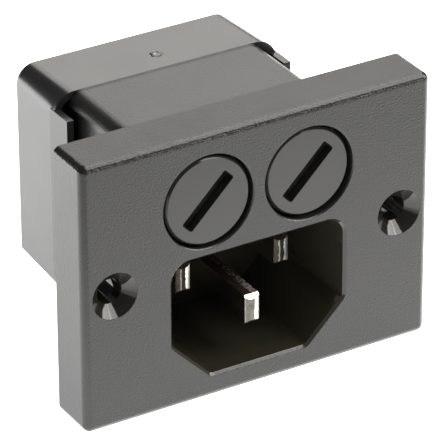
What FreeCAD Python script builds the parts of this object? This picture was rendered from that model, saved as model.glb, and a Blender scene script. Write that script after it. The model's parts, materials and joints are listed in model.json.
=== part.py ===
import FreeCAD, Part
import math
import os
from collections import namedtuple

# Fused C14 appliance inlet for screwing to a panel, in millimetres.
# +X is to the right as seen from the front, +Y points back through the panel, +Z is up.
# The origin is midway between the two screws, on the plane where the flange meets the panel.

Vector = FreeCAD.Vector
Outline = namedtuple("Outline", "half_width top bottom top_radius chamfer corner_radius")

# Flange
flange_width = 48.6
flange_height = 36.2
flange_thickness = 6.7
flange_corner_radius = 1.0
flange_edge_radius = 1.0
edge_break = 0.15

# Panel screws, M3 countersunk
screw_spacing = 40.0
screw_hole_radius = 1.65
countersink_radius = 3.1
countersink_angle = 90.0
screw_boss_radius = 3.6

# Cored pockets in the back of the flange, above and below each screw boss
pocket_rim = 1.6
pocket_depth = 4.0
pocket_rib = 1.0
pocket_rows = 3

# C14 recess
recess_half_width = 12.1
recess_height = 16.5
recess_top = 1.65
recess_top_radius = 2.5
recess_chamfer = 5.4
recess_corner_radius = 1.0
recess_depth = 17.2
recess_floor = 2.0
rim_bevel = 0.35

# Contact blades, placed from the top of the recess
blade_thickness = 2.0
blade_height = 4.0
blade_tip_chamfer = 0.55
blade_crown_radius = 1.9
live_blade_spacing = 14.0
live_blade_drop = 6.15
earth_blade_drop = 4.0
live_blade_setback = 6.2
earth_blade_setback = 1.5
rivet_radius = 1.0
rivet_head_radius = 1.6
rivet_head_height = 0.7

# Fuse wells
fuse_spacing = 14.06
fuse_rise = 7.41
cap_hole_radius = 6.21
cap_hole_depth = 3.1
well_lip = 0.8
well_lip_clearance = 0.15

# Fuse, 5 x 20 mm
fuse_length = 20.0
fuse_cap_radius = 2.6
fuse_cap_length = 5.0
fuse_cap_wall = 0.25
fuse_glass_wall = 0.5
fuse_wire_radius = 0.15
fuse_fit = 0.02
fuse_running_clearance = 0.05

# Fuse carriers; the right one is screwed in a little further
cap_clearance = 0.36
cap_thickness = 2.55
cap_edge = 0.3
cap_recess = 0.25
set_in = {"left": 0.0, "right": 0.2}
driver_slot_length = 8.4
driver_slot_width = 1.8
driver_slot_depth = 1.4
driver_slot_angle = 45.0
driver_slot_corner = 0.3
barrel_wall = 0.97
barrel_overhang = 1.7
bore_into_cap = 0.3

# Contact cup and spring in each carrier
cup_wall = 0.35
cup_floor = 0.3
cup_rim = 0.4
cup_fit = 0.03
seat_gap = 0.05
spring_wire = 0.4
spring_radius = 2.0
spring_turns = 2.25
spring_height = 1.5

# Bayonet
turn_angle = 90.0
turn_lift = 2.0
lug_count = 2
lug_width_angle = 24.0
lug_reach = 0.85
lug_length = 1.4
lug_setback = 3.7
push_room = 1.0
track_clearance = 0.1
track_end_angle = 2.0
bush_wall = 0.75
bush_end_wall = 0.9
bush_fit = 0.04
running_clearance = 0.08

# Body behind the flange
side_wall = 1.7
bottom_wall = 1.0
top_wall = 0.84
body_top_radius = 2.0
body_chamfer = 5.8
body_wall = 1.3
body_depth = 22.0

# Rear cover, placed round the body
cover_side_room = 2.05
cover_top_rise = 0.15
cover_bottom_drop = 1.0
cover_overlap = 6.5
cover_depth = 10.7
cover_top_radius = 3.0
cover_chamfer = 6.4
cover_wall = 0.95
cover_back_wall = 1.2
cover_draft = 0.5
cover_edge_chamfer = 0.35
cover_gap = 0.1
wing_length = 3.4
wing_top_drop = 2.0
wing_bottom_rise = 0.85
barb_height = 6.0
barb_bite = 0.55
barb_ramp = 1.1
barb_land = 0.5
barb_setback = 0.1
barb_clearance = 0.1
cover_rib_width = 1.0
cover_rib_zs = (-5.0, 8.0)
gate_radius = 0.55
gate_depth = 0.12
gate_x = 0.8
gate_setback = 3.7

# Strip contacts and blade terminals
strip_thickness = 0.5
strip_width = 3.5
strip_bend = 1.2
strip_foot = 1.0
strip_lead_angle = 25.0
strip_lead_length = 0.5
terminal_thickness = 0.8
terminal_width = 6.3
terminal_bend = 1.2
terminal_end_taper = 1.2
terminal_reach = 8.0
tab_hole_radius = 0.8
contact_gap = 0.1
live_terminal_drop = 3.46
live_terminal_rise = 6.4
earth_terminal_drop = 3.7
earth_terminal_rise = 2.2

# Smallest corner radius, and how far a cutting shape runs past the face it opens
least_radius = 0.2
overrun = 1.0

# Depths along Y
front_y = -flange_thickness
floor_y = front_y + recess_depth
floor_back_y = floor_y + recess_floor
well_shoulder_y = front_y + cap_hole_depth
bush_front_y = well_shoulder_y + well_lip
bush_length = lug_setback + lug_length + push_room + bush_end_wall
lug_front_y = bush_front_y + lug_setback
cover_front_y = body_depth - cover_overlap
cover_back_y = cover_front_y + cover_depth
cover_inside_y = cover_back_y - cover_back_wall
wing_front_y = cover_front_y - wing_length
barb_front_y = wing_front_y + barb_setback
barb_back_y = barb_front_y + barb_ramp + barb_land
terminal_end_y = cover_back_y + terminal_reach

# Depths of the left carrier's pieces; the right one's lie set_in deeper
cap_front_y = front_y + cap_recess
cap_back_y = cap_front_y + cap_thickness
barrel_end_y = bush_front_y + bush_length + barrel_overhang
bore_y = cap_back_y - bore_into_cap
cup_floor_y = bore_y + spring_height
fuse_start_y = cup_floor_y + cup_floor + seat_gap
fuse_end_y = fuse_start_y + fuse_length

# Radii round each fuse
cap_radius = cap_hole_radius - cap_clearance
cup_outer_radius = fuse_cap_radius + fuse_running_clearance + cup_wall
bore_radius = cup_outer_radius + cup_fit
barrel_radius = bore_radius + barrel_wall
lug_radius = barrel_radius + lug_reach
track_radius = lug_radius + track_clearance
bush_inner_radius = barrel_radius + running_clearance
well_lip_radius = track_radius + well_lip_clearance
well_radius = track_radius + bush_wall

# Heights and half widths
recess_bottom = recess_top - recess_height
fuse_z = recess_top + fuse_rise
live_blade_z = recess_top - live_blade_drop
earth_blade_z = live_blade_z - earth_blade_drop
live_terminal_z = fuse_z - live_terminal_drop
earth_terminal_z = earth_blade_z - earth_terminal_drop
earth_terminal_top = earth_blade_z + earth_terminal_rise
body_half_width = recess_half_width + side_wall
body_top = fuse_z + well_radius + top_wall
body_bottom = recess_bottom - bottom_wall
cover_half_width = body_half_width + cover_side_room
cover_top = body_top + cover_top_rise
cover_bottom = body_bottom - cover_bottom_drop
wing_top = cover_top - wing_top_drop
wing_bottom = cover_bottom + cover_chamfer + wing_bottom_rise
barb_tip_x = body_half_width - barb_bite

helix_pitch = turn_lift * 360.0 / turn_angle
side_sign = {"left": -1, "right": 1}


def grown(outline, step):
    """The same outline moved outwards by step."""
    return Outline(
        outline.half_width + step,
        outline.top + step,
        outline.bottom - step,
        max(outline.top_radius + step, least_radius),
        outline.chamfer + step * (2.0 - math.sqrt(2.0)),
        outline.corner_radius and max(outline.corner_radius + step, least_radius),
    )


def outline_wire(outline, y):
    """Closed outline with two round top corners and two chamfered bottom corners."""
    half, bottom = outline.half_width, outline.bottom
    chamfer, corner = outline.chamfer, outline.corner_radius
    right = [
        (half, outline.top, outline.top_radius),
        (half, bottom + chamfer, corner),
        (half - chamfer, bottom, corner),
    ]
    left = [(-x, z, radius) for x, z, radius in reversed(right)]
    return rounded_loop(right + left, y)


def rounded_loop(corners, y):
    """Closed loop in the plane at y through (x, z, radius) corners; a radius of 0 is sharp."""
    points = [Vector(x, y, z) for x, z, _ in corners]
    bends = []
    for index, (_, _, radius) in enumerate(corners):
        corner = points[index]
        before = (points[index - 1] - corner).normalize()
        after = (points[(index + 1) % len(points)] - corner).normalize()
        half_angle = before.getAngle(after) / 2.0
        reach = radius / math.tan(half_angle)
        inwards = (before + after).normalize()
        middle = corner + inwards * (radius / math.sin(half_angle) - radius)
        bends.append((corner + before * reach, middle, corner + after * reach))
    edges = []
    for index, (start, middle, end) in enumerate(bends):
        if corners[index][2] > 0.0:
            edges.append(Part.Arc(start, middle, end).toShape())
        next_start = bends[(index + 1) % len(bends)][0]
        edges.append(Part.LineSegment(end, next_start).toShape())
    return Part.Wire(edges)


def prism(outline, y_from, y_to):
    face = Part.Face(outline_wire(outline, y_from))
    return face.extrude(Vector(0, y_to - y_from, 0))


def tapered(outline_from, outline_to, y_from, y_to):
    wires = [outline_wire(outline_from, y_from), outline_wire(outline_to, y_to)]
    return Part.makeLoft(wires, True, True)


def block(x_from, x_to, y_from, y_to, z_from, z_to):
    size = (x_to - x_from, y_to - y_from, z_to - z_from)
    return Part.makeBox(*size, Vector(x_from, y_from, z_from))


def rod(x, z, radius, y_from, y_to):
    return Part.makeCylinder(radius, y_to - y_from, Vector(x, y_from, z), Vector(0, 1, 0))


def cone(x, z, radius_from, radius_to, y_from, y_to):
    start = Vector(x, y_from, z)
    return Part.makeCone(radius_from, radius_to, y_to - y_from, start, Vector(0, 1, 0))


def turned(profile):
    """Solid of revolution about Y from (radius, y) corners."""
    points = [Vector(radius, y, 0) for radius, y in profile]
    face = Part.Face(Part.makePolygon(points + points[:1]))
    return face.revolve(Vector(0, 0, 0), Vector(0, 1, 0), 360)


def on_fuse_axis(shape, side, deeper):
    placed = shape.copy()
    placed.translate(Vector(fuse_x(side), deeper, fuse_z))
    return placed


def fuse_x(side):
    return side_sign[side] * fuse_spacing / 2.0


def blade_x(side):
    return side_sign[side] * live_blade_spacing / 2.0


def faces_outwards(shape):
    """Turn a shape built along +Z so that it points out of the front, along -Y."""
    shape.rotate(Vector(0, 0, 0), Vector(1, 0, 0), 90)
    return shape


def helical_sector(radius_in, radius_out, low, high, start_angle, sweep_angle):
    """Ring sector that follows the bayonet's helix, built along +Z."""
    rise = helix_pitch / 360.0
    spine = Part.makeHelix(helix_pitch, rise * sweep_angle, radius_out)
    corners = [
        Vector(radius_in, 0, low),
        Vector(radius_out, 0, low),
        Vector(radius_out, 0, high),
        Vector(radius_in, 0, high),
    ]
    profile = Part.makePolygon(corners + corners[:1])
    sector = Part.Wire(spine.Edges).makePipeShell([profile], True, True)
    sector = Part.Solid(Part.Shell(sector.Faces)) if sector.ShapeType != "Solid" else sector
    sector.rotate(Vector(0, 0, 0), Vector(0, 0, 1), start_angle)
    sector.translate(Vector(0, 0, rise * start_angle))
    return sector


def flat_sector(radius_in, radius_out, low, high, start_angle, sweep_angle):
    """Plain ring sector, built along +Z."""
    corners = [
        Vector(radius_in, 0, low),
        Vector(radius_out, 0, low),
        Vector(radius_out, 0, high),
        Vector(radius_in, 0, high),
    ]
    face = Part.Face(Part.makePolygon(corners + corners[:1]))
    sector = face.revolve(Vector(0, 0, 0), Vector(0, 0, 1), sweep_angle)
    sector.rotate(Vector(0, 0, 0), Vector(0, 0, 1), start_angle)
    return sector


def folded_strip(x, start, heading, moves, thickness, width):
    """Sheet strip folded in the YZ plane and centred on x.

    start is (y, z) on the strip's mid-line, heading is in degrees from +Y towards +Z, and each
    move is ("run", length) or ("bend", angle, radius of the mid-line)."""
    half = thickness / 2.0
    y, z = start
    angle = math.radians(heading)

    def point(side, offset_y=0.0, offset_z=0.0):
        normal_y, normal_z = -math.sin(angle), math.cos(angle)
        return Vector(
            x - width / 2.0,
            y + offset_y + side * half * normal_y,
            z + offset_z + side * half * normal_z,
        )

    first = {side: point(side) for side in (1, -1)}
    last = dict(first)
    edges = {1: [], -1: []}
    for move in moves:
        if move[0] == "run":
            y += move[1] * math.cos(angle)
            z += move[1] * math.sin(angle)
            for side in (1, -1):
                end = point(side)
                edges[side].append(Part.LineSegment(last[side], end).toShape())
                last[side] = end
            continue
        turn, radius = math.radians(move[1]), move[2]
        way = 1.0 if turn > 0 else -1.0
        centre_y = y - way * radius * math.sin(angle)
        centre_z = z + way * radius * math.cos(angle)
        start_angle = angle
        middles = {}
        for step in (0.5, 1.0):
            angle = start_angle + turn * step
            y = centre_y + way * radius * math.sin(angle)
            z = centre_z - way * radius * math.cos(angle)
            if step == 0.5:
                middles = {side: point(side) for side in (1, -1)}
        for side in (1, -1):
            end = point(side)
            edges[side].append(Part.Arc(last[side], middles[side], end).toShape())
            last[side] = end
    caps = [
        Part.LineSegment(last[1], last[-1]).toShape(),
        Part.LineSegment(first[-1], first[1]).toShape(),
    ]
    loop = Part.__sortEdges__(edges[1] + edges[-1] + caps)
    return Part.Face(Part.Wire(loop)).extrude(Vector(width, 0, 0))


def edges_on_plane(shape, y):
    return [edge for edge in shape.Edges if all(abs(v.Y - y) < 1e-6 for v in edge.Vertexes)]


def edges_along_y(shape):
    return [
        edge
        for edge in shape.Edges
        if len(edge.Vertexes) == 2
        and abs(edge.Vertexes[0].X - edge.Vertexes[1].X) < 1e-6
        and abs(edge.Vertexes[0].Z - edge.Vertexes[1].Z) < 1e-6
    ]


body_outline = Outline(
    body_half_width, body_top, body_bottom, body_top_radius, body_chamfer, 0.0
)
recess_outline = Outline(
    recess_half_width,
    recess_top,
    recess_bottom,
    recess_top_radius,
    recess_chamfer,
    recess_corner_radius,
)
cover_outline = Outline(
    cover_half_width, cover_top, cover_bottom, cover_top_radius, cover_chamfer, 0.0
)


def cover_outline_at(y, inset):
    """The cover's drafted outline at depth y, moved inwards by inset."""
    share = (y - cover_front_y) / cover_depth
    return grown(cover_outline, -inset - cover_draft * share)


# The part of the body that slides into the cover, clear of its drafted walls
skirt_limit = cover_outline_at(body_depth, cover_wall + cover_gap)
skirt_outline = Outline(
    body_half_width,
    min(body_top, skirt_limit.top),
    max(body_bottom, skirt_limit.bottom),
    body_top_radius,
    body_chamfer,
    0.0,
)
chamber_outline = grown(skirt_outline, -body_wall)


def flange():
    plate = block(
        -flange_width / 2.0,
        flange_width / 2.0,
        front_y,
        0.0,
        -flange_height / 2.0,
        flange_height / 2.0,
    )
    plate = plate.makeFillet(flange_corner_radius, edges_along_y(plate))
    return plate.makeFillet(flange_edge_radius, edges_on_plane(plate, front_y))


def screw_hole(x):
    sink_depth = (countersink_radius - screw_hole_radius) / math.tan(
        math.radians(countersink_angle / 2.0)
    )
    hole = rod(x, 0.0, screw_hole_radius, front_y - overrun, overrun)
    sink = cone(x, 0.0, countersink_radius, screw_hole_radius, front_y, front_y + sink_depth)
    return hole.fuse(sink)


def flange_pockets():
    """Cored pockets in the flange's back, divided by ribs and clear of the screw bosses."""
    outer_x = flange_width / 2.0 - pocket_rim
    inner_x = body_half_width + body_wall
    low_z = screw_boss_radius + pocket_rib
    high_z = flange_height / 2.0 - pocket_rim
    pitch = (high_z - low_z + pocket_rib) / pocket_rows
    pockets = []
    for side in (-1, 1):
        for half in (-1, 1):
            for row in range(pocket_rows):
                z_from = low_z + row * pitch
                z_to = z_from + pitch - pocket_rib
                xs = sorted((side * inner_x, side * outer_x))
                zs = sorted((half * z_from, half * z_to))
                pockets.append(block(xs[0], xs[1], -pocket_depth, overrun, zs[0], zs[1]))
    return pockets


def front_moulding():
    """Flange, recess, fuse wells and rear chamber, moulded as one."""
    shape = flange().fuse(prism(body_outline, front_y / 2.0, cover_front_y - cover_gap))
    shape = shape.fuse(prism(skirt_outline, front_y / 2.0, body_depth))
    rim_outline = grown(recess_outline, rim_bevel)
    cuts = [
        prism(recess_outline, front_y - overrun, floor_y),
        tapered(rim_outline, recess_outline, front_y, front_y + rim_bevel),
        prism(chamber_outline, floor_back_y, body_depth + overrun),
        screw_hole(-screw_spacing / 2.0),
        screw_hole(screw_spacing / 2.0),
    ]
    for side in side_sign:
        x = fuse_x(side)
        bevel_y = front_y + edge_break
        cuts.append(rod(x, fuse_z, cap_hole_radius, front_y - overrun, well_shoulder_y))
        cuts.append(
            cone(x, fuse_z, cap_hole_radius + edge_break, cap_hole_radius, front_y, bevel_y)
        )
        cuts.append(rod(x, fuse_z, well_lip_radius, front_y, bush_front_y))
        cuts.append(rod(x, fuse_z, well_radius, bush_front_y, floor_back_y))
    for x, z in blade_places().values():
        cuts.append(blade_slot(x, z))
    cuts.extend(flange_pockets())
    cuts.extend(barb_notches())
    shape = shape.cut(cuts)
    return shape.fuse(chamber_divider()).removeSplitter()


def chamber_divider():
    """Wall between the two live sides, above the earth terminal."""
    half = body_wall / 2.0
    low_z = live_blade_z + blade_height / 2.0
    high_z = chamber_outline.top + body_wall / 2.0
    return block(-half, half, floor_back_y - recess_floor / 2.0, body_depth, low_z, high_z)


def blade_places():
    """Centre of each blade in X and Z."""
    return {
        "left": (blade_x("left"), live_blade_z),
        "right": (blade_x("right"), live_blade_z),
        "earth": (0.0, earth_blade_z),
    }


def blade_slot(x, z):
    return block(
        x - blade_thickness / 2.0,
        x + blade_thickness / 2.0,
        floor_y - overrun,
        floor_back_y + overrun,
        z - blade_height / 2.0,
        z + blade_height / 2.0,
    )


def contact_blade(x, z, setback, plate_thickness):
    """Blade with a crowned and chamfered tip, and a rivet that clamps a plate at its root."""
    tip_y = front_y + setback
    half_x, half_z = blade_thickness / 2.0, blade_height / 2.0
    crown_y = tip_y + blade_crown_radius - math.sqrt(blade_crown_radius**2 - half_x**2)

    def corner(side, y):
        return Vector(x + side * half_x, y, z - half_z)

    edges = [
        Part.Arc(corner(-1, crown_y), Vector(x, tip_y, z - half_z), corner(1, crown_y)),
        Part.LineSegment(corner(1, crown_y), corner(1, floor_back_y)),
        Part.LineSegment(corner(1, floor_back_y), corner(-1, floor_back_y)),
        Part.LineSegment(corner(-1, floor_back_y), corner(-1, crown_y)),
    ]
    plan = Part.Face(Part.Wire([edge.toShape() for edge in edges]))
    shank = plan.extrude(Vector(0, 0, blade_height))
    shank = shank.cut([tip_wedge(x, z, tip_y, way) for way in (-1, 1)])
    plate_y = floor_back_y + plate_thickness
    rivet = rod(x, z, rivet_radius, floor_back_y - recess_floor / 2.0, plate_y)
    head = cone(
        x, z, rivet_head_radius, rivet_radius, plate_y, plate_y + rivet_head_height
    )
    return shank.fuse([rivet, head]).removeSplitter()


def tip_wedge(x, z, tip_y, way):
    """What the chamfer takes off the top (way 1) or the bottom (way -1) of a blade's tip."""
    half_x, half_z = blade_thickness / 2.0 + overrun, blade_height / 2.0
    outer_z = z + way * (half_z + overrun)
    corners = [
        Vector(x - half_x, tip_y - overrun, z + way * (half_z - blade_tip_chamfer - overrun)),
        Vector(x - half_x, tip_y + blade_tip_chamfer + overrun, outer_z),
        Vector(x - half_x, tip_y - overrun, outer_z),
    ]
    face = Part.Face(Part.makePolygon(corners + corners[:1]))
    return face.extrude(Vector(2.0 * half_x, 0, 0))


def rear_cover():
    """Drafted shell over the back of the body, with a wing forward on each side."""
    back_outline = cover_outline_at(cover_back_y, 0.0)
    shell = tapered(cover_outline, back_outline, cover_front_y, cover_back_y)
    shell = shell.makeChamfer(cover_edge_chamfer, edges_on_plane(shell, cover_back_y))
    wings = []
    for side in (-1, 1):
        xs = sorted((side * cover_half_width, side * (cover_half_width - cover_wall)))
        y_to = cover_front_y + cover_wall
        wings.append(block(xs[0], xs[1], wing_front_y, y_to, wing_bottom, wing_top))
    outside = tapered(cover_outline, back_outline, cover_front_y, cover_back_y)
    wings = [wing.cut(outside) for wing in wings]
    inside = tapered(
        cover_outline_at(cover_front_y, cover_wall),
        cover_outline_at(cover_inside_y, cover_wall),
        cover_front_y,
        cover_inside_y,
    )
    shell = shell.cut(inside)
    slots = [
        terminal_slot(fuse_x("left"), live_terminal_z),
        terminal_slot(fuse_x("right"), live_terminal_z),
        terminal_slot(0.0, earth_terminal_z),
    ]
    gate_y = cover_front_y + gate_setback
    gate_z = cover_top - cover_draft * gate_setback / cover_depth - gate_depth
    gate = Part.makeCylinder(gate_radius, overrun, Vector(gate_x, gate_y, gate_z))
    shell = shell.cut(slots + [gate])
    return shell.fuse(wings + snap_barbs() + locating_ribs()).removeSplitter()


def snap_barbs():
    """Ramped barb inside each wing that hooks into the side of the body."""
    inner_x = cover_half_width - cover_wall
    rooted_x = cover_half_width - cover_wall / 2.0
    outline = [
        (rooted_x, barb_front_y),
        (inner_x, barb_front_y),
        (barb_tip_x, barb_front_y + barb_ramp),
        (barb_tip_x, barb_back_y),
        (rooted_x, barb_back_y),
    ]
    barbs = []
    for side in (-1, 1):
        corners = [Vector(side * x, y, -barb_height / 2.0) for x, y in outline]
        face = Part.Face(Part.makePolygon(corners + corners[:1]))
        barbs.append(face.extrude(Vector(0, 0, barb_height)))
    return barbs


def barb_notches():
    """Notches in the body's sides for the barbs."""
    half = barb_height / 2.0 + barb_clearance
    y_to = barb_back_y + barb_clearance
    notches = []
    for side in (-1, 1):
        ends = (side * (barb_tip_x - barb_clearance), side * (body_half_width + overrun))
        notches.append(block(min(ends), max(ends), barb_front_y, y_to, -half, half))
    return notches


def terminal_slot(x, z):
    half_x = terminal_width / 2.0 + contact_gap
    half_z = terminal_thickness / 2.0 + contact_gap
    y_from, y_to = cover_inside_y - overrun, cover_back_y + overrun
    return block(x - half_x, x + half_x, y_from, y_to, z - half_z, z + half_z)


def locating_ribs():
    """Ribs inside the cover that centre it on the body's sides."""
    ribs = []
    y_from = cover_front_y + cover_wall
    y_to = cover_inside_y + cover_back_wall / 2.0
    for side in (-1, 1):
        inner_x = body_half_width + cover_gap
        outer_x = cover_half_width - cover_draft - cover_wall / 4.0
        xs = sorted((side * inner_x, side * outer_x))
        for z in cover_rib_zs:
            half = cover_rib_width / 2.0
            ribs.append(block(xs[0], xs[1], y_from, y_to, z - half, z + half))
    return ribs


def bayonet_track():
    """Room that one lug needs: a helical track, and a way out to the front at its far end."""
    half_angle = lug_width_angle / 2.0 + track_end_angle
    radius_in = (bush_inner_radius + bore_radius) / 2.0
    radius_out = track_radius + overrun
    lug_back = -lug_front_y - lug_length
    front = overrun - bush_front_y
    helical = helical_sector(
        radius_in,
        radius_out,
        lug_back - push_room,
        track_clearance - lug_front_y,
        -half_angle,
        turn_angle + 2.0 * half_angle,
    )
    straight = flat_sector(
        radius_in,
        radius_out,
        turn_lift + lug_back,
        front,
        turn_angle - half_angle,
        2.0 * half_angle,
    )
    reach = Part.makeCylinder(track_radius, bush_length + 2.0 * overrun)
    reach.translate(Vector(0, 0, front - bush_length - 2.0 * overrun))
    return helical.fuse(straight).common(reach)


def bayonet_bush():
    """Bush with a bayonet track for each lug."""
    back = -bush_front_y - bush_length
    ring = Part.makeCylinder(well_radius - bush_fit, bush_length, Vector(0, 0, back))
    ring = ring.cut(Part.makeCylinder(bush_inner_radius, bush_length, Vector(0, 0, back)))
    for number in range(lug_count):
        track = bayonet_track()
        centre = driver_slot_angle + number * 360.0 / lug_count
        track.rotate(Vector(0, 0, 0), Vector(0, 0, 1), centre)
        ring = ring.cut(track)
    return faces_outwards(ring.removeSplitter())


def fuse_carrier():
    """Slotted cap and barrel in one, with the bayonet lugs on the barrel."""
    body = turned(
        [
            (0.0, cap_front_y),
            (cap_radius - cap_edge, cap_front_y),
            (cap_radius, cap_front_y + cap_edge),
            (cap_radius, cap_back_y),
            (barrel_radius, cap_back_y),
            (barrel_radius, barrel_end_y),
            (bore_radius, barrel_end_y),
            (bore_radius, bore_y),
            (0.0, bore_y),
        ]
    )
    slot = block(
        -driver_slot_length / 2.0,
        driver_slot_length / 2.0,
        cap_front_y - overrun,
        cap_front_y + driver_slot_depth,
        -driver_slot_width / 2.0,
        driver_slot_width / 2.0,
    )
    slot = slot.makeFillet(driver_slot_corner, edges_along_y(slot))
    slot.rotate(Vector(0, 0, 0), Vector(0, -1, 0), driver_slot_angle)
    lugs = []
    for number in range(lug_count):
        lug = helical_sector(
            (bore_radius + barrel_radius) / 2.0,
            lug_radius,
            -lug_front_y - lug_length,
            -lug_front_y,
            -lug_width_angle / 2.0,
            lug_width_angle,
        )
        centre = driver_slot_angle + number * 360.0 / lug_count
        lug.rotate(Vector(0, 0, 0), Vector(0, 0, 1), centre)
        lugs.append(faces_outwards(lug))
    return body.cut(slot).fuse(lugs).removeSplitter()


def contact_cup():
    """Metal cup that grips the fuse's front cap and turns out over the barrel's end."""
    inner = fuse_cap_radius + fuse_running_clearance
    return turned(
        [
            (0.0, cup_floor_y),
            (cup_outer_radius, cup_floor_y),
            (cup_outer_radius, barrel_end_y),
            (barrel_radius, barrel_end_y),
            (barrel_radius, barrel_end_y + cup_rim),
            (inner, barrel_end_y + cup_rim),
            (inner, cup_floor_y + cup_floor),
            (0.0, cup_floor_y + cup_floor),
        ]
    )


def fuse_spring():
    """Short coil of square wire between the cap and the cup's floor."""
    rise = spring_height - spring_wire
    half = spring_wire / 2.0
    spine = Part.makeHelix(rise / spring_turns, rise, spring_radius)
    corners = [
        Vector(spring_radius - half, 0, -half),
        Vector(spring_radius - half, 0, half),
        Vector(spring_radius + half, 0, half),
        Vector(spring_radius + half, 0, -half),
    ]
    section = Part.makePolygon(corners + corners[:1])
    coil = Part.Wire(spine.Edges).makePipeShell([section], True, True)
    coil = faces_outwards(coil)
    coil.translate(Vector(0, cup_floor_y - half, 0))
    return coil


def fuse_glass():
    outer = fuse_cap_radius - fuse_cap_wall
    inner = outer - fuse_glass_wall
    start_y = fuse_start_y + fuse_cap_wall
    end_y = fuse_end_y - fuse_cap_wall
    return turned([(inner, start_y), (outer, start_y), (outer, end_y), (inner, end_y)])


def fuse_end_cap(closed_y, inwards):
    """Cup on one end of the glass; inwards is +1 or -1 along Y."""
    bore = fuse_cap_radius - fuse_cap_wall + fuse_fit
    floor = closed_y + inwards * fuse_cap_wall
    open_y = closed_y + inwards * fuse_cap_length
    return turned(
        [
            (0.0, closed_y),
            (fuse_cap_radius, closed_y),
            (fuse_cap_radius, open_y),
            (bore, open_y),
            (bore, floor),
            (0.0, floor),
        ]
    )


def fuse_wire():
    start_y = fuse_start_y + fuse_cap_wall
    return rod(0.0, 0.0, fuse_wire_radius, start_y, fuse_end_y - fuse_cap_wall)


def side_contact(side):
    """Strip from the blade's rivet up and forward under the contact cup's rim."""
    mid_y = floor_back_y + strip_thickness / 2.0
    arm_z = fuse_z - barrel_radius - contact_gap - strip_thickness / 2.0
    foot_z = live_blade_z - rivet_head_radius - strip_foot
    arm_end_y = barrel_end_y - cup_rim
    moves = [
        ("run", arm_z - strip_bend - foot_z),
        ("bend", 90.0, strip_bend),
        ("run", mid_y - strip_bend - arm_end_y),
        ("bend", strip_lead_angle, strip_bend),
        ("run", strip_lead_length),
    ]
    x = blade_x(side)
    strip = folded_strip(x, (mid_y, foot_z), 90.0, moves, strip_thickness, strip_width)
    return strip.cut(rivet_hole(x, live_blade_z))


def rivet_hole(x, z):
    return rod(x, z, rivet_radius, floor_back_y - overrun, floor_back_y + overrun)


def finished_tab(strip, x, z):
    """Chamfer the corners of a terminal's free end and pierce its detent hole."""
    half = terminal_width / 2.0
    low_z = z - terminal_thickness
    height = 2.0 * terminal_thickness
    hole_y = terminal_end_y - terminal_reach / 2.0
    cuts = [Part.makeCylinder(tab_hole_radius, height, Vector(x, hole_y, low_z))]
    for side in (-1, 1):
        corners = [
            Vector(x + side * (half - terminal_end_taper / 2.0), terminal_end_y, low_z),
            Vector(x + side * half, terminal_end_y, low_z),
            Vector(x + side * half, terminal_end_y - terminal_end_taper, low_z),
        ]
        face = Part.Face(Part.makePolygon(corners + corners[:1]))
        cuts.append(face.extrude(Vector(0, 0, height)))
    return strip.cut(cuts)


def live_terminal(side):
    """Blade terminal whose inner end stands behind the deeper of the two fuses."""
    x = fuse_x(side)
    last_fuse_y = fuse_end_y + max(set_in.values())
    plate_y = last_fuse_y + contact_gap + terminal_thickness / 2.0
    moves = [
        ("run", terminal_end_y - plate_y - terminal_bend),
        ("bend", -90.0, terminal_bend),
        ("run", live_terminal_rise - terminal_bend),
    ]
    start = (terminal_end_y, live_terminal_z)
    strip = folded_strip(x, start, 180.0, moves, terminal_thickness, terminal_width)
    return finished_tab(strip, x, live_terminal_z)


def earth_terminal():
    """Blade terminal riveted to the earth blade."""
    plate_y = floor_back_y + terminal_thickness / 2.0
    moves = [
        ("run", earth_terminal_top - earth_terminal_z - terminal_bend),
        ("bend", 90.0, terminal_bend),
        ("run", terminal_end_y - plate_y - terminal_bend),
    ]
    start = (plate_y, earth_terminal_top)
    strip = folded_strip(0.0, start, -90.0, moves, terminal_thickness, terminal_width)
    return finished_tab(strip.cut(rivet_hole(0.0, earth_blade_z)), 0.0, earth_terminal_z)


def build():
    nodes = {
        "front_moulding": front_moulding(),
        "rear_cover": rear_cover(),
        "earth_terminal": earth_terminal(),
    }
    for name, (x, z) in blade_places().items():
        is_earth = name == "earth"
        setback = earth_blade_setback if is_earth else live_blade_setback
        plate = terminal_thickness if is_earth else strip_thickness
        nodes[name + "_blade"] = contact_blade(x, z, setback, plate)
    for side in side_sign:
        nodes[side + "_side_contact"] = side_contact(side)
        nodes[side + "_terminal"] = live_terminal(side)
        nodes[side + "_bayonet_bush"] = on_fuse_axis(bayonet_bush(), side, 0.0)
        carried = {
            "_fuse_carrier": fuse_carrier(),
            "_contact_cup": contact_cup(),
            "_fuse_spring": fuse_spring(),
            "_fuse_glass": fuse_glass(),
            "_fuse_front_cap": fuse_end_cap(fuse_start_y, 1),
            "_fuse_rear_cap": fuse_end_cap(fuse_end_y, -1),
            "_fuse_wire": fuse_wire(),
        }
        for name, shape in carried.items():
            nodes[side + name] = on_fuse_axis(shape, side, set_in[side])
    return nodes


os.makedirs("parts", exist_ok=True)
for node, shape in build().items():
    solid = shape.Solids[0]
    solid.exportStep("parts/" + node + ".step")
    print(node, len(shape.Solids), solid.isValid(), round(solid.Volume, 3))
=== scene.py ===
import json
import math

import bmesh
import bpy
from mathutils import Matrix, Vector


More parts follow.
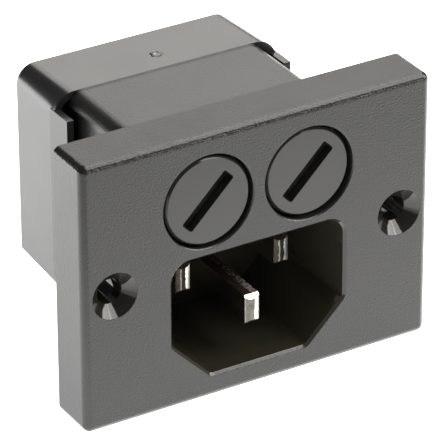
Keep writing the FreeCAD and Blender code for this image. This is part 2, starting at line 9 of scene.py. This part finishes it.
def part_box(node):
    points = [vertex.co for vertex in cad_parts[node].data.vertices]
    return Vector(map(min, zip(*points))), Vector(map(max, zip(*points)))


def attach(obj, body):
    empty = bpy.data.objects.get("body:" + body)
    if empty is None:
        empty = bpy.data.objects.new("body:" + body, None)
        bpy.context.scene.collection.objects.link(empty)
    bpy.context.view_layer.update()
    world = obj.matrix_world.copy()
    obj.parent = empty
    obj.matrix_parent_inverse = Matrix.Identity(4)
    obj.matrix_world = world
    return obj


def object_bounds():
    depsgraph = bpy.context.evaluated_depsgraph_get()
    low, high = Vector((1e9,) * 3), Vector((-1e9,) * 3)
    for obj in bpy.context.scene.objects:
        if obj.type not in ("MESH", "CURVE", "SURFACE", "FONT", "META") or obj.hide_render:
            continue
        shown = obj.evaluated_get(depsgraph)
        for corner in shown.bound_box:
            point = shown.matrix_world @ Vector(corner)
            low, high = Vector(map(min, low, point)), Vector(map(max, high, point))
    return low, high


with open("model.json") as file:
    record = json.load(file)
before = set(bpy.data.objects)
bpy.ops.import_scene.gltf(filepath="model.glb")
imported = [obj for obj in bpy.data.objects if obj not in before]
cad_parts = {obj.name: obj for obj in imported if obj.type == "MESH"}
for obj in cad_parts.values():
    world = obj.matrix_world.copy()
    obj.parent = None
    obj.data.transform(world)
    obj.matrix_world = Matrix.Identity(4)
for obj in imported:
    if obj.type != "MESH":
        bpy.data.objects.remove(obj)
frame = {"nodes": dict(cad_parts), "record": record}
cad_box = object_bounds()

MM = 0.001


# --- Node materials ------------------------------------------------------------------------

# Range that the values of a noise texture mostly keep to
NOISE_RANGE = (0.3, 0.7)
# Largest component of the normal where a face begins to be square on, and where it fully is
SQUARE_ON = (0.97, 0.995)
# Component of the normal along an axis where a face begins to look that way, and fully does
LOOKING = (0.90, 0.97)


class Shader:
    """A node material with short calls for the nodes used here."""

    def __init__(self, name):
        self.material = bpy.data.materials.new(name)
        self.material.use_nodes = True
        self.tree = self.material.node_tree
        self.surface = self.tree.nodes["Principled BSDF"]
        coordinates = self.node("ShaderNodeTexCoord").outputs
        self.place = coordinates["Object"]
        self.facing = coordinates["Normal"]

    def node(self, kind, **values):
        made = self.tree.nodes.new(kind)
        for key, value in values.items():
            setattr(made, key, value)
        return made

    def link(self, source, target):
        self.tree.links.new(source, target)

    def noise(self, size, detail=2.0, scale=(1.0, 1.0, 1.0)):
        """Noise whose features are about size across, in metres, and longer where scale is low."""
        mapping = self.node("ShaderNodeMapping")
        mapping.inputs["Scale"].default_value = scale
        self.link(self.place, mapping.inputs["Vector"])
        noise = self.node("ShaderNodeTexNoise")
        noise.inputs["Scale"].default_value = 1.0 / size
        noise.inputs["Detail"].default_value = detail
        self.link(mapping.outputs["Vector"], noise.inputs["Vector"])
        return noise.outputs["Fac"]

    def math(self, operation, first, second):
        """Maths of a node output with another one, or with a number."""
        made = self.node("ShaderNodeMath", operation=operation)
        self.link(first, made.inputs[0])
        if isinstance(second, float):
            made.inputs[1].default_value = second
        else:
            self.link(second, made.inputs[1])
        return made.outputs["Value"]

    def vector_math(self, operation, first, second=None, output="Vector"):
        """Maths of a vector output, alone or with three numbers."""
        made = self.node("ShaderNodeVectorMath", operation=operation)
        self.link(first, made.inputs[0])
        if second is not None:
            made.inputs[1].default_value = second
        return made.outputs[output]

    def scaled(self, colour, factor):
        made = self.node("ShaderNodeVectorMath", operation="SCALE")
        self.link(colour, made.inputs["Vector"])
        self.link(factor, made.inputs["Scale"])
        return made.outputs["Vector"]

    def parts(self, vector):
        split = self.node("ShaderNodeSeparateXYZ")
        self.link(vector, split.inputs["Vector"])
        return [split.outputs[axis] for axis in "XYZ"]

    def sizes(self, vector):
        """Parts of the vector without their signs."""
        return self.parts(self.vector_math("ABSOLUTE", vector))

    def largest(self, vector):
        x, y, z = self.sizes(vector)
        return self.math("MAXIMUM", self.math("MAXIMUM", x, y), z)

    def ranged(self, value, low, high, to_low, to_high):
        ramp = self.node("ShaderNodeMapRange")
        for key, number in zip(("From Min", "From Max", "To Min", "To Max"),
                               (low, high, to_low, to_high)):
            ramp.inputs[key].default_value = number
        self.link(value, ramp.inputs["Value"])
        return ramp.outputs["Result"]

    def spread(self, noise, to_low, to_high):
        """Noise that covers the range from to_low to to_high."""
        return self.ranged(noise, *NOISE_RANGE, to_low, to_high)

    def between(self, share, at_none, at_all):
        """Value at_none where share is 0 and at_all where it is 1."""
        return self.ranged(share, 0.0, 1.0, at_none, at_all)

    def mixed(self, share, first, second):
        """Colour first where share is 0 and second where it is 1; each is an output or a colour."""
        mix = self.node("ShaderNodeMix", data_type="RGBA")
        self.link(share, mix.inputs["Factor"])
        for key, colour in (("A", first), ("B", second)):
            if isinstance(colour, tuple):
                mix.inputs[key].default_value = (*colour, 1.0)
            else:
                self.link(colour, mix.inputs[key])
        return mix.outputs["Result"]

    def across(self, value, stops):
        """Colour ramp through stops, each a place from 0 to 1 and a colour."""
        ramp = self.node("ShaderNodeValToRGB")
        elements = ramp.color_ramp.elements
        while len(elements) < len(stops):
            elements.new(1.0)
        for element, (place, colour) in zip(elements, stops):
            element.position = place
            element.color = (*colour, 1.0)
        self.link(value, ramp.inputs["Fac"])
        return ramp.outputs["Color"]

    def within(self, low, high):
        """1 inside the box from low to high, in object coordinates, and 0 outside it."""
        middle = [(a + b) / 2.0 for a, b in zip(low, high)]
        half = [(b - a) / 2.0 for a, b in zip(low, high)]
        share = self.vector_math("DIVIDE", self.vector_math("SUBTRACT", self.place, middle), half)
        return self.math("LESS_THAN", self.largest(share), 1.0)

    def rounded_share(self):
        """1 where the surface looks along no axis, as on a rounded edge, and 0 elsewhere."""
        return self.ranged(self.largest(self.facing), *SQUARE_ON, 1.0, 0.0)

    def looking_share(self, axis):
        """1 where the surface looks along the axis numbered 0 to 2, either way, and 0 elsewhere."""
        return self.ranged(self.sizes(self.facing)[axis], *LOOKING, 0.0, 1.0)

    def softened_edges(self, radius):
        bevel = self.node("ShaderNodeBevel", samples=6)
        bevel.inputs["Radius"].default_value = radius
        return bevel.outputs["Normal"]

    def bump(self, height, distance, under=None):
        bump = self.node("ShaderNodeBump")
        bump.inputs["Distance"].default_value = distance
        self.link(height, bump.inputs["Height"])
        if under is not None:
            self.link(under, bump.inputs["Normal"])
        return bump.outputs["Normal"]

    def set(self, **values):
        for key, value in values.items():
            self.surface.inputs[key.replace("_", " ")].default_value = value

    def feed(self, key, output):
        self.link(output, self.surface.inputs[key])


def shade(colour, factor):
    return tuple(channel * factor for channel in colour)


# --- Moulded plastic -----------------------------------------------------------------------

# Cloudiness of the plastic, and how far it moves the colour and the roughness
CLOUD_SIZE = 6.0 * MM
CLOUD_SHADES = (0.92, 1.08)
CLOUD_ROUGHNESS = (-0.02, 0.02)
# The roughness in front of the panel turns into that behind it within this depth of its face
PANEL_BLEND = 0.1 * MM
# Roughness of the rounded edges, of the sides and where the mould was polished, as shares of the
# flat front's
EDGE_ROUGHNESS = 0.55
SIDE_ROUGHNESS = 0.70
POLISHED_ROUGHNESS = 0.4
# Height of the grain on the faces that slide out of the mould, as a share of the front's
DRAWN_GRAIN = 0.35
# Sink marks over the whole moulding
SINK_HEIGHT = 0.020 * MM
SINK_SIZE = 7.0 * MM


def moulded_plastic(
    name, colour, roughness, grain_size, grain_height, edge_radius, ior=1.5, polished=()
):
    """Black thermoplastic with a spark-eroded grain, a little cloudiness and smoother edges.

    roughness is that in front of the panel, and that behind it. polished is a list of the boxes in
    which the mould was polished, each with the colour painted over it in place of the plastic's
    own, and they have no grain."""
    shader = Shader(name)
    cloud = shader.noise(CLOUD_SIZE, detail=3.0)
    thin, thick = (shade(colour, factor) for factor in CLOUD_SHADES)
    clouded_and_painted = shader.mixed(shader.spread(cloud, 0.0, 1.0), thin, thick)

    depth = shader.parts(shader.place)[1]
    rough = shader.ranged(depth, -PANEL_BLEND, PANEL_BLEND, *roughness)
    in_front = shader.math("LESS_THAN", depth, 0.0)
    edges = shader.rounded_share()
    sides = shader.looking_share(0)
    for share, smoother in ((edges, EDGE_ROUGHNESS), (sides, SIDE_ROUGHNESS)):
        share = shader.math("MULTIPLY", share, in_front)
        rough = shader.math("MULTIPLY", rough, shader.between(share, 1.0, smoother))

    grain = shader.noise(grain_size, detail=2.0)
    square_on = shader.between(shader.looking_share(1), DRAWN_GRAIN, 1.0)
    height = shader.math("MULTIPLY", grain, square_on)
    # Each polished box takes its painted tone in place of the clouded colour: painted shade in a
    # countersink, a painted lift deep in the recess
    for low, high, black in polished:
        mask = shader.within(low, high)
        rough = shader.math("MULTIPLY", rough, shader.between(mask, 1.0, POLISHED_ROUGHNESS))
        height = shader.math("MULTIPLY", height, shader.between(mask, 1.0, 0.0))
        clouded_and_painted = shader.mixed(mask, clouded_and_painted, black)

    shader.feed("Base Color", clouded_and_painted)
    shader.feed("Roughness", shader.math("ADD", rough, shader.spread(cloud, *CLOUD_ROUGHNESS)))
    sinks = shader.noise(SINK_SIZE, detail=0.0)
    swell = shader.bump(sinks, SINK_HEIGHT, under=shader.softened_edges(edge_radius))
    shader.feed("Normal", shader.bump(height, grain_height, under=swell))
    shader.set(IOR=ior)
    return shader.material


# --- Metal and glass -----------------------------------------------------------------------

# Fine streaks and stains on all metal but the blades', with the values of the noise between
# which a stain fades out, its shade of the colour, and how far the streaks move the roughness
PLATE_STREAK = 0.12 * MM
PLATE_STREAK_SCALE = (1.0, 0.05, 1.0)
PLATE_STREAK_HEIGHT = 0.001 * MM
PLATE_STREAK_ROUGHNESS = (-0.06, 0.08)
PLATE_STAIN = 1.5 * MM
STAIN_EDGE = (0.35, 0.65)
STAIN_SHADE = 0.86

# How squarely a face of a blade looks forwards or up to count as its tip, top or chamfer
TIP_FACING = 0.8
CHAMFER_FACING = 0.4
BLADE_HALF = 1.0 * MM
# Size of the streaks, the specks and the mottle on a blade, and how the first two are drawn out
BLADE_STREAK = 0.15 * MM
BLADE_STREAK_SCALE = (1.0, 0.2, 1.0)
BLADE_STREAK_HEIGHT = 0.002 * MM
BLADE_SPECK = 0.22 * MM
BLADE_SPECK_SCALE = (1.0, 0.6, 1.0)
BLADE_MOTTLE = 0.60 * MM
MOTTLE_SHADES = (0.75, 1.25)
# Values of the noise between which a speck fades in
SPECK_EDGE = (0.42, 0.60)
# How far the edges of the painted bright and dark strips on a tip wander, as a share of the blade's
# thickness
RAGGED = 0.04
# Where the worn streak on a blade's top begins, across its thickness, how far back it runs, and
# the share of it that is left there
STREAK_START = (0.50, 0.60)
STREAK_LENGTH = 11.0 * MM
STREAK_END = 0.15
# Roughness of a blade's polished sides and of its worn top, where the tips are between the two,
# and what the streaks add
BLADE_ROUGHNESS = (0.14, 0.60)
TIP_DULLNESS = 0.4
BLADE_STREAK_ROUGHNESS = (0.0, 0.1)
BLADE_EDGE_RADIUS = 0.12 * MM

GLASS_WAVE = 2.0 * MM
GLASS_WAVE_HEIGHT = 0.01 * MM
GLASS_ROUGHNESS = (0.02, 0.06)
GLASS_TINT = (0.94, 0.97, 0.96, 1.0)


def plated_metal(name, colour, roughness):
    """Stamped or drawn metal, plated, with stains and with fine streaks from front to back."""
    shader = Shader(name)
    streaks = shader.noise(PLATE_STREAK, detail=3.0, scale=PLATE_STREAK_SCALE)
    stain = shader.noise(PLATE_STAIN, detail=3.0)
    clean = shader.ranged(stain, *STAIN_EDGE, 0.0, 1.0)
    shader.feed("Base Color", shader.mixed(clean, shade(colour, STAIN_SHADE), colour))
    smoother, rougher = (roughness + step for step in PLATE_STREAK_ROUGHNESS)
    shader.feed("Roughness", shader.spread(streaks, smoother, rougher))
    shader.feed("Normal", shader.bump(streaks, PLATE_STREAK_HEIGHT))
    shader.set(Metallic=1.0)
    return shader.material


def blade_metal(name, node, painted_tip_stops, chamfer_colour_or_painted_dark):
    """Nickel plate on one blade: tarnished along the top with a worn streak, finely streaked all
    over, and with reflections painted over the tip as bright and dark strips in its colour.

    The tip stops are the painted colours over the tip from the left edge, 0, to the right edge, 1;
    the chamfers take the colour given for them, plain nickel on the earth blade and a painted dark
    reflection on the live ones."""
    shader = Shader(name)
    low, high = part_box(node)
    middle = (low[0] + high[0]) / 2.0
    streaks = shader.noise(BLADE_STREAK, detail=3.0, scale=BLADE_STREAK_SCALE)
    specks = shader.noise(BLADE_SPECK, detail=2.0, scale=BLADE_SPECK_SCALE)
    mottle = shader.noise(BLADE_MOTTLE, detail=3.0)
    x, y, _ = shader.parts(shader.place)
    _, back, up = shader.parts(shader.facing)

    share = shader.ranged(x, middle - BLADE_HALF, middle + BLADE_HALF, 0.0, 1.0)
    ragged = shader.math("ADD", share, shader.spread(mottle, -RAGGED, RAGGED))
    # Reflections painted over the tip: bright and dark strips across it, mottled
    tip = shader.scaled(shader.across(ragged, painted_tip_stops), shader.spread(mottle, *MOTTLE_SHADES))
    streak = shader.math(
        "MULTIPLY",
        shader.ranged(share, *STREAK_START, 0.0, 1.0),
        shader.ranged(specks, *SPECK_EDGE, 0.0, 1.0),
    )
    fade = shader.ranged(y, low[1], low[1] + STREAK_LENGTH, 1.0, STREAK_END)
    top = shader.mixed(shader.math("MULTIPLY", streak, fade), TARNISH, NICKEL)

    on_tip = shader.math("LESS_THAN", back, -TIP_FACING)
    on_top = shader.math("GREATER_THAN", up, TIP_FACING)
    on_chamfer = shader.math(
        "MULTIPLY",
        shader.math("GREATER_THAN", up, CHAMFER_FACING),
        shader.math("LESS_THAN", back, -CHAMFER_FACING),
    )
    # Tip faces take the painted reflections, and chamfers the colour given for them, a painted dark
    # reflection on the live blades
    colour = shader.mixed(on_tip, NICKEL, tip)
    colour = shader.mixed(on_top, colour, top)
    colour = shader.mixed(on_chamfer, colour, chamfer_colour_or_painted_dark)
    shader.feed("Base Color", colour)

    dull = shader.math("MAXIMUM", shader.math("MULTIPLY", on_tip, TIP_DULLNESS), on_top)
    rough = shader.between(dull, *BLADE_ROUGHNESS)
    streaked = shader.spread(streaks, *BLADE_STREAK_ROUGHNESS)
    shader.feed("Roughness", shader.math("ADD", rough, streaked))
    edges = shader.softened_edges(BLADE_EDGE_RADIUS)
    shader.feed("Normal", shader.bump(streaks, BLADE_STREAK_HEIGHT, under=edges))
    shader.set(Metallic=1.0)
    return shader.material


def clear_glass(name):
    shader = Shader(name)
    waves = shader.noise(GLASS_WAVE, detail=1.0)
    shader.feed("Roughness", shader.spread(waves, *GLASS_ROUGHNESS))
    shader.feed("Normal", shader.bump(waves, GLASS_WAVE_HEIGHT))
    shader.set(Transmission_Weight=1.0, IOR=1.5, Base_Color=GLASS_TINT)
    return shader.material


# --- Finish of the CAD nodes ---------------------------------------------------------------

HOUSING_BLACK = (0.021, 0.021, 0.0205)
COVER_BLACK = (0.022, 0.022, 0.023)
CARRIER_BLACK = (0.021, 0.021, 0.0195)
# Polished parts of the mould, deep in the recess and the countersinks, with colours painted over
# them in place of the housing's black: a lighter, browner painted tone standing in for the dim
# light deep in the recess, and painted shade in the countersinks
RECESS_PAINTED_TONE = (0.034, 0.032, 0.023)
COUNTERSINK_PAINTED_SHADE = (0.016, 0.015, 0.012)

NICKEL = (0.80, 0.77, 0.70)
TARNISH = (0.100, 0.062, 0.050)
TINNED_BRASS = (0.78, 0.76, 0.71)
BRASS = (0.80, 0.62, 0.34)
SPRING_STEEL = (0.62, 0.62, 0.63)
TINNED_WIRE = (0.75, 0.73, 0.70)
# Dark reflection painted on the live blades' chamfers, which are the same nickel as the rest
LIVE_CHAMFER_PAINTED_DARK = (0.090, 0.078, 0.066)
# Reflections painted on the tips, seen from the front, left to right: the live blades' are a
# painted dark between two painted bright strips, the earth blade's a painted dim middle between a
# lighter left edge and a bright right strip
LIVE_TIP_PAINTED_REFLECTIONS = [
    (0.00, (0.035, 0.031, 0.026)),
    (0.27, (0.035, 0.031, 0.026)),
    (0.32, (0.230, 0.215, 0.180)),
    (0.37, (0.014, 0.013, 0.011)),
    (0.62, (0.014, 0.013, 0.011)),
    (0.68, (0.820, 0.800, 0.740)),
]
EARTH_TIP_PAINTED_REFLECTIONS = [
    (0.00, (0.300, 0.290, 0.250)),
    (0.06, (0.110, 0.108, 0.095)),
    (0.60, (0.110, 0.108, 0.095)),
    (0.66, (0.800, 0.770, 0.690)),
]

# Radius that catches the light along every moulded edge, and along the cover's crisp ones
EDGE_RADIUS = 0.10 * MM
COVER_EDGE_RADIUS = 0.02 * MM

# Rooms in the housing that the mould polished, each carrying the tone painted over it. They begin
# just behind the front face
SCREW_X = 20.0 * MM
COUNTERSINK_RADIUS = 3.15 * MM
RECESS_HALF_WIDTH = 12.2 * MM
RECESS_TOP = 1.75 * MM
RECESS_BOTTOM = -14.95 * MM
RECESS_BACK = 11.0 * MM
FACE_DEPTH = 0.02 * MM

polished_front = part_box("front_moulding")[0][1] + FACE_DEPTH
recess_room = (
    (-RECESS_HALF_WIDTH, polished_front, RECESS_BOTTOM),
    (RECESS_HALF_WIDTH, RECESS_BACK, RECESS_TOP),
    RECESS_PAINTED_TONE,
)
countersinks = [
    (
        (x - COUNTERSINK_RADIUS, polished_front, -COUNTERSINK_RADIUS),
        (x + COUNTERSINK_RADIUS, 0.0, COUNTERSINK_RADIUS),
        COUNTERSINK_PAINTED_SHADE,
    )
    for x in (-SCREW_X, SCREW_X)
]

# One for each material slot of the record
materials = {
    "housing": moulded_plastic(
        "housing_plastic",
        HOUSING_BLACK,
        roughness=(0.42, 0.34),
        grain_size=0.24 * MM,
        grain_height=0.110 * MM,
        edge_radius=EDGE_RADIUS,
        polished=[recess_room, *countersinks],
    ),
    "cover": moulded_plastic(
        "cover_plastic",
        COVER_BLACK,
        roughness=(0.25, 0.25),
        grain_size=0.50 * MM,
        grain_height=0.0004 * MM,
        edge_radius=COVER_EDGE_RADIUS,
        ior=1.55,
    ),
    "carrier": moulded_plastic(
        "carrier_plastic",
        CARRIER_BLACK,
        roughness=(0.30, 0.30),
        grain_size=0.80 * MM,
        grain_height=0.003 * MM,
        edge_radius=EDGE_RADIUS,
    ),
    "bush": moulded_plastic(
        "bush_plastic",
        HOUSING_BLACK,
        roughness=(0.40, 0.40),
        grain_size=0.20 * MM,
        grain_height=0.003 * MM,
        edge_radius=EDGE_RADIUS,
    ),
    "nickel": plated_metal("nickel_plate", NICKEL, roughness=0.25),
    "terminal": plated_metal("tinned_brass", TINNED_BRASS, roughness=0.30),
    "brass": plated_metal("spring_brass", BRASS, roughness=0.28),
    "spring_steel": plated_metal("spring_wire", SPRING_STEEL, roughness=0.30),
    "fuse_wire": plated_metal("tinned_wire", TINNED_WIRE, roughness=0.35),
    "glass": clear_glass("fuse_glass"),
}

# The blades' own, in place of the plain nickel of their slot, with reflections painted on their
# tips
blade_materials = {
    "left_blade": blade_metal("left_nickel_painted_tip", "left_blade", LIVE_TIP_PAINTED_REFLECTIONS, LIVE_CHAMFER_PAINTED_DARK),
    "right_blade": blade_metal("right_nickel_painted_tip", "right_blade", LIVE_TIP_PAINTED_REFLECTIONS, LIVE_CHAMFER_PAINTED_DARK),
    "earth_blade": blade_metal("earth_nickel_painted_tip", "earth_blade", EARTH_TIP_PAINTED_REFLECTIONS, NICKEL),
}

slot_of = {part["node"]: part["material_slot"] for part in frame["record"]["subparts"]}
for name, node in frame["nodes"].items():
    material = blade_materials.get(name) or materials[slot_of[name]]
    node.data.materials.clear()
    node.data.materials.append(material)


# --- Gate mark and seam --------------------------------------------------------------------

cover_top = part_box("rear_cover")[1][2]

# Stub of the sprue, torn off over the dimple on top of the cover. Its base lies under the surface
GATE_X = 0.8 * MM
GATE_Y = 19.2 * MM
GATE_DROP = 0.22 * MM
GATE_RADIUS = 1.05 * MM
GATE_HEIGHT = 0.14 * MM
GATE_RINGS = 9
GATE_SPOKES = 40
# Lobes of its outline, and how deep they are as a share of the radius
GATE_LOBES = 5.0
GATE_LOBE_DEPTH = 0.12
# Height of its middle as a share of its rim's
GATE_HOLLOW = 0.75
# Waves of the tear round the stub: the height, the count and the turn of each
TEAR_WAVES = ((0.22, 3.0, 0.6), (0.14, 7.0, 2.0))

# Whitened middle of the tear: the radii where it begins to fade and ends, and how far they wander
STRESS_WHITE = (0.40, 0.42, 0.48)
WHITE_EDGE = (0.42 * MM, 0.55 * MM)
WHITE_WANDER = 0.15 * MM
# Facets of the tear, and the values of their noise between which a dark fleck fades out
TEAR_FACET = 0.45 * MM
TEAR_HEIGHT = 0.30 * MM
TEAR_ROUGHNESS = (0.12, 0.30)
FLECK_EDGE = (0.40, 0.55)
FLECK_WHITE = 0.1

# Body beside the front edge of the cover, to a hair under its top
BODY_HALF_WIDTH = 13.8 * MM
BODY_TOP_DROP = 0.155 * MM
BODY_CORNER_RADIUS = 2.0 * MM
# Strip over the clearance between the two, which doesn't show on the real one: where it lies, how
# far it rises and how deep it is sunk, and how far it bends round the body's corners
SEAM_Y = (15.26 * MM, 15.51 * MM)
SEAM_RISE = 0.15 * MM
SEAM_DEPTH = 0.10 * MM
SEAM_BEND = math.radians(24.0)
SEAM_STEPS = 4


def torn_plastic(name, colour):
    """Broken surface of the cover's plastic: whitened in the middle, black and glossy round it."""
    shader = Shader(name)
    facets = shader.noise(TEAR_FACET, detail=3.0)
    centre = (GATE_X, GATE_Y, cover_top)
    offset = shader.vector_math("DISTANCE", shader.place, centre, output="Value")
    ragged = shader.math("ADD", offset, shader.spread(facets, -WHITE_WANDER, WHITE_WANDER))
    whitened = shader.ranged(ragged, *WHITE_EDGE, 1.0, 0.0)
    flecks = shader.ranged(facets, *FLECK_EDGE, FLECK_WHITE, 1.0)
    flecked = shader.math("MULTIPLY", whitened, flecks)
    shader.feed("Base Color", shader.mixed(flecked, colour, STRESS_WHITE))
    shader.feed("Roughness", shader.spread(facets, *TEAR_ROUGHNESS))
    shader.feed("Normal", shader.bump(facets, TEAR_HEIGHT))
    shader.set(IOR=1.6)
    return shader.material


def finished(name, form, material, body):
    """Object made from the bmesh form, riding on body."""
    mesh = bpy.data.meshes.new(name)
    bmesh.ops.recalc_face_normals(form, faces=form.faces)
    form.to_mesh(mesh)
    form.free()
    piece = bpy.data.objects.new(name, mesh)
    bpy.context.scene.collection.objects.link(piece)
    mesh.materials.append(material)
    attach(piece, body)


def stub_height(share, angle):
    """Height of the stub at a share of its radius: a torn crown that falls away at the edge."""
    tear = sum(height * math.sin(count * angle + turn) for height, count, turn in TEAR_WAVES)
    crown = 1.0 - share ** 4
    return GATE_HEIGHT * crown * (GATE_HOLLOW + (1.0 - GATE_HOLLOW) * share + tear * share)


def stub_reach(share, angle):
    """Distance from the stub's middle of a ring at a share of its radius: the rim is lobed."""
    lobe = 1.0 + math.sin(GATE_LOBES * angle)
    return GATE_RADIUS * share * (1.0 - GATE_LOBE_DEPTH * share * lobe)


def add_gate_mark():
    stub = bmesh.new()
    base = cover_top - GATE_DROP
    centre = stub.verts.new((GATE_X, GATE_Y, base + stub_height(0.0, 0.0)))
    rings = []
    for ring in range(1, GATE_RINGS + 1):
        share = ring / GATE_RINGS
        spokes = []
        for spoke in range(GATE_SPOKES):
            angle = math.tau * spoke / GATE_SPOKES
            reach = stub_reach(share, angle)
            spokes.append(stub.verts.new((
                GATE_X + reach * math.cos(angle),
                GATE_Y + reach * math.sin(angle),
                base + stub_height(share, angle),
            )))
        rings.append(spokes)
    for spoke in range(GATE_SPOKES):
        after = (spoke + 1) % GATE_SPOKES
        stub.faces.new((centre, rings[0][spoke], rings[0][after]))
        for inner, outer in zip(rings, rings[1:]):
            stub.faces.new((inner[spoke], outer[spoke], outer[after], inner[after]))
    stub.faces.new(list(reversed(rings[-1])))
    for face in stub.faces:
        face.smooth = len(face.verts) < GATE_SPOKES
    material = torn_plastic("torn_plastic", COVER_BLACK)
    finished("gate_mark", stub, material, "housing")


def add_cover_seam():
    """Strip that slopes from the body's top up to the edge of the cover."""
    seam = bmesh.new()
    flat_half = BODY_HALF_WIDTH - BODY_CORNER_RADIUS
    bends = [SEAM_BEND * step / SEAM_STEPS for step in range(SEAM_STEPS + 1)]
    across = [(-1, bend) for bend in reversed(bends)] + [(1, bend) for bend in bends]
    front, back = SEAM_Y
    profile = [(front, 0.0), (back, SEAM_RISE), (back, -SEAM_DEPTH), (front, -SEAM_DEPTH)]
    sections = []
    for side, bend in across:
        section = []
        for y, rise in profile:
            radius = BODY_CORNER_RADIUS + rise
            x = side * (flat_half + radius * math.sin(bend))
            z = cover_top - BODY_TOP_DROP - BODY_CORNER_RADIUS + radius * math.cos(bend)
            section.append(seam.verts.new((x, y, z)))
        sections.append(section)
    for before, after in zip(sections, sections[1:]):
        for corner in range(len(profile)):
            beyond = (corner + 1) % len(profile)
            seam.faces.new((before[corner], after[corner], after[beyond], before[beyond]))
    seam.faces.new(sections[0])
    seam.faces.new(list(reversed(sections[-1])))
    finished("cover_seam", seam, materials["housing"], "housing")


add_gate_mark()
add_cover_seam()


# --- Camera, floor and light ---------------------------------------------------------------

CAMERA_AZIMUTH = math.radians(-30.66)
CAMERA_ELEVATION = math.radians(28.82)
CAMERA_ROLL = math.radians(-0.19)
CAMERA_DISTANCE = 489.3 * MM
CAMERA_AIM = Vector((-2.95, -2.81, 3.37)) * MM
CAMERA_CLIP = 10.0 * MM
LENS = 329.0

FLOOR_HALF = 3.0
FLOOR_PALES = ((0.84, 0.84, 0.84), (0.86, 0.86, 0.86))
FLOOR_MOTTLE = 50.0 * MM
FLOOR_ROUGHNESS = 0.9
# The floor is a light table: its middle, where that fades out, and its glow, which the camera sees
TABLE_MIDDLE = (19.0 * MM, 33.0 * MM, 0.0)
TABLE_EDGE = (75.0 * MM, 120.0 * MM)
TABLE_GLOW = 2.0
# Azimuth and glow of the four quarters round the middle, front left first
QUARTER_GLOW = ((-45.0, 0.4), (45.0, 0.9), (135.0, 2.8), (-135.0, 4.2))

WHITE = (1.0, 1.0, 1.0, 1.0)
ROOM_LIGHT = 0.07
LAMP_COLOUR = (1.0, 0.975, 0.935)
# Azimuth, elevation, distance, size and power of each softbox
SOFTBOXES = {
    "softbox_back_right": (150.0, 29.0, 1.0, 0.6, 2.9),
    "softbox_back_high": (131.0, 52.0, 1.0, 0.4, 2.0),
    "softbox_high": (85.0, 63.0, 1.0, 0.4, 3.5),
    "softbox_right_high": (43.0, 49.0, 1.0, 0.4, 3.0),
    "softbox_right": (64.0, 28.0, 1.0, 0.5, 5.5),
}


def towards(azimuth, elevation):
    """Unit vector from the object; azimuth 0 is straight in front, positive to the right."""
    level = math.cos(elevation)
    return Vector((math.sin(azimuth) * level, -math.cos(azimuth) * level, math.sin(elevation)))


def add_camera():
    data = bpy.data.cameras.new("camera")
    data.lens = LENS
    data.clip_start = CAMERA_CLIP
    camera = bpy.data.objects.new("camera", data)
    bpy.context.scene.collection.objects.link(camera)
    outwards = towards(CAMERA_AZIMUTH, CAMERA_ELEVATION)
    turn = outwards.to_track_quat("Z", "Y").to_matrix().to_4x4()
    camera.matrix_world = (
        Matrix.Translation(CAMERA_AIM + outwards * CAMERA_DISTANCE)
        @ turn
        @ Matrix.Rotation(CAMERA_ROLL, 4, "Z")
    )
    bpy.context.scene.camera = camera


def table_glow(shader):
    """Glow of the light table: even in the middle, and turning from quarter to quarter round it."""
    offset = shader.vector_math("SUBTRACT", shader.place, TABLE_MIDDLE)
    distance = shader.vector_math("LENGTH", offset, output="Value")
    middle = shader.ranged(distance, *TABLE_EDGE, 1.0, 0.0)
    direction = shader.vector_math("NORMALIZE", offset)
    round_about = None
    for azimuth, glow in QUARTER_GLOW:
        quarter = towards(math.radians(azimuth), 0.0)
        lean = shader.vector_math("DOT_PRODUCT", direction, quarter, output="Value")
        # The squares of the cosines to two quarters side by side add up to 1
        share = shader.math("POWER", shader.math("MAXIMUM", lean, 0.0), 2.0)
        lit = shader.math("MULTIPLY", share, glow)
        round_about = lit if round_about is None else shader.math("ADD", round_about, lit)
    outside = shader.math("MULTIPLY", round_about, shader.between(middle, 1.0, 0.0))
    return shader.math("ADD", shader.math("MULTIPLY", middle, TABLE_GLOW), outside)


def add_floor():
    """Light table: a pale sheet lit from below, so that no shadow shows on it."""
    corners = [(-1, -1), (1, -1), (1, 1), (-1, 1)]
    floor_z = cad_box[0][2]
    mesh = bpy.data.meshes.new("floor")
    mesh.from_pydata(
        [(x * FLOOR_HALF, y * FLOOR_HALF, floor_z) for x, y in corners], [], [(0, 1, 2, 3)]
    )
    floor = bpy.data.objects.new("floor", mesh)
    bpy.context.scene.collection.objects.link(floor)
    shader = Shader("floor_sheet")
    shader.feed("Base Color", shader.mixed(shader.noise(FLOOR_MOTTLE), *FLOOR_PALES))
    shader.feed("Emission Strength", table_glow(shader))
    shader.set(Roughness=FLOOR_ROUGHNESS, Emission_Color=WHITE)
    mesh.materials.append(shader.material)


def add_softbox(name, azimuth, elevation, distance, size, power):
    data = bpy.data.lights.new(name, "AREA")
    data.shape = "SQUARE"
    data.size = size
    data.energy = power
    data.color = LAMP_COLOUR
    lamp = bpy.data.objects.new(name, data)
    bpy.context.scene.collection.objects.link(lamp)
    outwards = towards(math.radians(azimuth), math.radians(elevation))
    lamp.location = outwards * distance
    lamp.rotation_euler = outwards.to_track_quat("Z", "Y").to_euler()


def add_light():
    for name, place in SOFTBOXES.items():
        add_softbox(name, *place)
    world = bpy.data.worlds.new("studio")
    world.use_nodes = True
    background = world.node_tree.nodes["Background"]
    background.inputs["Color"].default_value = WHITE
    background.inputs["Strength"].default_value = ROOM_LIGHT
    bpy.context.scene.world = world


add_camera()
add_floor()
add_light()
bpy.context.scene.view_settings.view_transform = "Standard"
